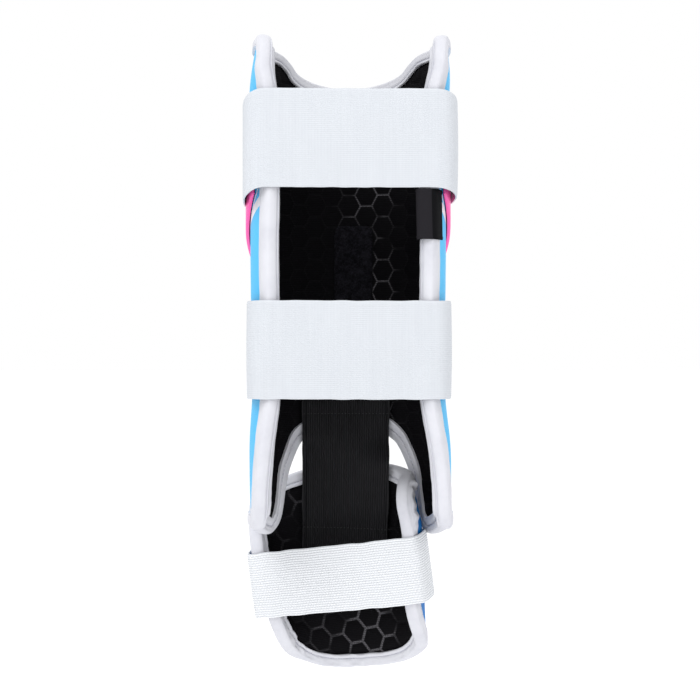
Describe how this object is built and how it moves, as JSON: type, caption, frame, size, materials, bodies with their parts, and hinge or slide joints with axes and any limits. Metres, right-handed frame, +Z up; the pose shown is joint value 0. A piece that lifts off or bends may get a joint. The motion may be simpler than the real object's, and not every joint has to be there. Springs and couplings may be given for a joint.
{
  "type": "batter's leg guard",
  "caption": "Curved padded shin guard with a bound edge and a raised front plate, a smaller foot guard hung from it on a wide elastic, and elastic straps across the open back.",
  "frame": {"origin": "on the leg's axis, level with the middle strap", "axes": "+Z up the leg towards the knee; +Y towards the guard's closed front; -Y towards its open back with the straps; +X to the right when seen from behind"},
  "size_m": [0.1484, 0.1153, 0.4412],
  "materials": {
    "blue_cover": "smooth sky-blue cloth over a moulded shell",
    "pink_plate": "satin moulded plate",
    "white_elastic": "knitted elastic with fine cross ribs",
    "white_binding": "folded stitched binding tape",
    "black_pad": "knitted mesh over foam, with pressed hexagons",
    "black_elastic": "ribbed woven elastic"
  },
  "bodies": {
    "root": {"shin_shell": "blue_cover", "shin_pad": "black_pad", "shin_binding": "white_binding", "shin_plate": "pink_plate", "fastener_patch": "black_pad", "top_strap": "white_elastic", "middle_strap": "white_elastic", "side_label": "black_elastic", "foot_shell": "blue_cover", "foot_pad": "black_pad", "foot_binding": "white_binding", "foot_strap": "white_elastic", "link_strap": "black_elastic"}
  },
  "joints": []
}
